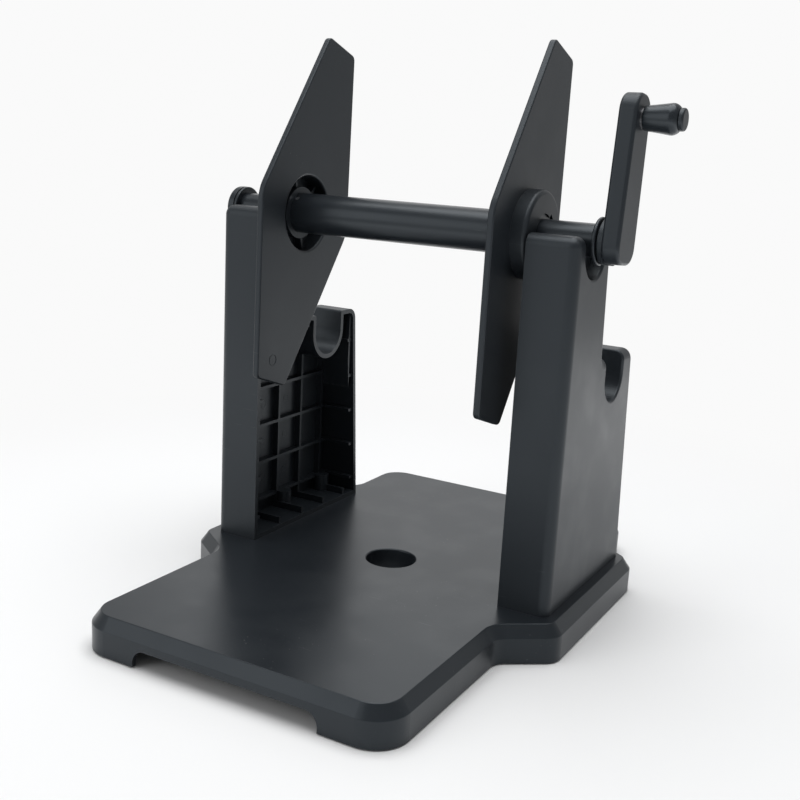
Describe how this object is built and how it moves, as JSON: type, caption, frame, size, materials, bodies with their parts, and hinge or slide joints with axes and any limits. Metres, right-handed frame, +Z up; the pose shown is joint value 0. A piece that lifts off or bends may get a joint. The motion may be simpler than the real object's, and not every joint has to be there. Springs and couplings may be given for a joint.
{
  "type": "spool holder stand",
  "caption": "Bench stand with notched posts on a broad base, carrying a cranked shaft with long side plates for a spool.",
  "frame": {"origin": "on the bench under the centre of the base plate's round hole, straight below the shaft's axis", "axes": "+X along the shaft towards the crank, +Y to the rear, where the posts' low notches are, +Z up"},
  "size_m": [0.2895, 0.35, 0.3461],
  "materials": {
    "base_plastic": "black moulded plastic, satin with a fine grain",
    "post_plastic": "black moulded plastic, satin with a fine grain",
    "flange_plastic": "black moulded plastic, satin",
    "shaft_plastic": "black moulded plastic, semi-gloss",
    "crank_plastic": "black moulded plastic, satin",
    "grip_plastic": "black moulded plastic, semi-gloss",
    "bearing_plastic": "black low-friction plastic, smooth",
    "foot_rubber": "black rubber",
    "screw_steel": "dark zinc-plated steel",
    "pin_steel": "plain steel"
  },
  "bodies": {
    "stand": {"base_plate": "base_plastic", "rubber_feet": "foot_rubber", "left_upright": "post_plastic", "right_upright": "post_plastic", "left_upright_screws": "screw_steel", "right_upright_screws": "screw_steel", "left_saddle": "bearing_plastic", "right_saddle": "bearing_plastic"},
    "lift_rings": {"left_thrust_washer": "bearing_plastic", "right_thrust_washer": "bearing_plastic"},
    "spindle": {"shaft_tube": "shaft_plastic", "left_journal": "shaft_plastic", "right_journal": "shaft_plastic", "left_journal_pin": "pin_steel", "right_journal_pin": "pin_steel", "left_end_cap": "shaft_plastic", "end_cap_screw": "screw_steel", "crank_arm": "crank_plastic", "crank_set_screw": "screw_steel", "handle_pin": "crank_plastic", "handle_washer": "pin_steel", "handle_nut": "pin_steel"},
    "left_side_plate": {"left_flange": "flange_plastic"},
    "right_side_plate": {"right_flange": "flange_plastic"},
    "grip": {"handle_grip": "grip_plastic"}
  },
  "joints": [
    {"name": "shaft_lift", "type": "slide", "parent": "stand", "child": "lift_rings", "axis": [0, 0, 1], "range_m": [0, 0.06]},
    {"name": "shaft_spin", "type": "hinge", "parent": "lift_rings", "child": "spindle", "pos_m": [0, 0, 0.238], "axis": [1, 0, 0], "continuous": true},
    {"name": "left_plate_slide", "type": "slide", "parent": "spindle", "child": "left_side_plate", "axis": [1, 0, 0], "range_m": [0, 0.05]},
    {"name": "right_plate_slide", "type": "slide", "parent": "spindle", "child": "right_side_plate", "axis": [-1, 0, 0], "range_m": [0, 0.05]},
    {"name": "grip_spin", "type": "hinge", "parent": "spindle", "child": "grip", "pos_m": [0.147, 0.00584, 0.30474], "axis": [1, 0, 0], "continuous": true}
  ]
}
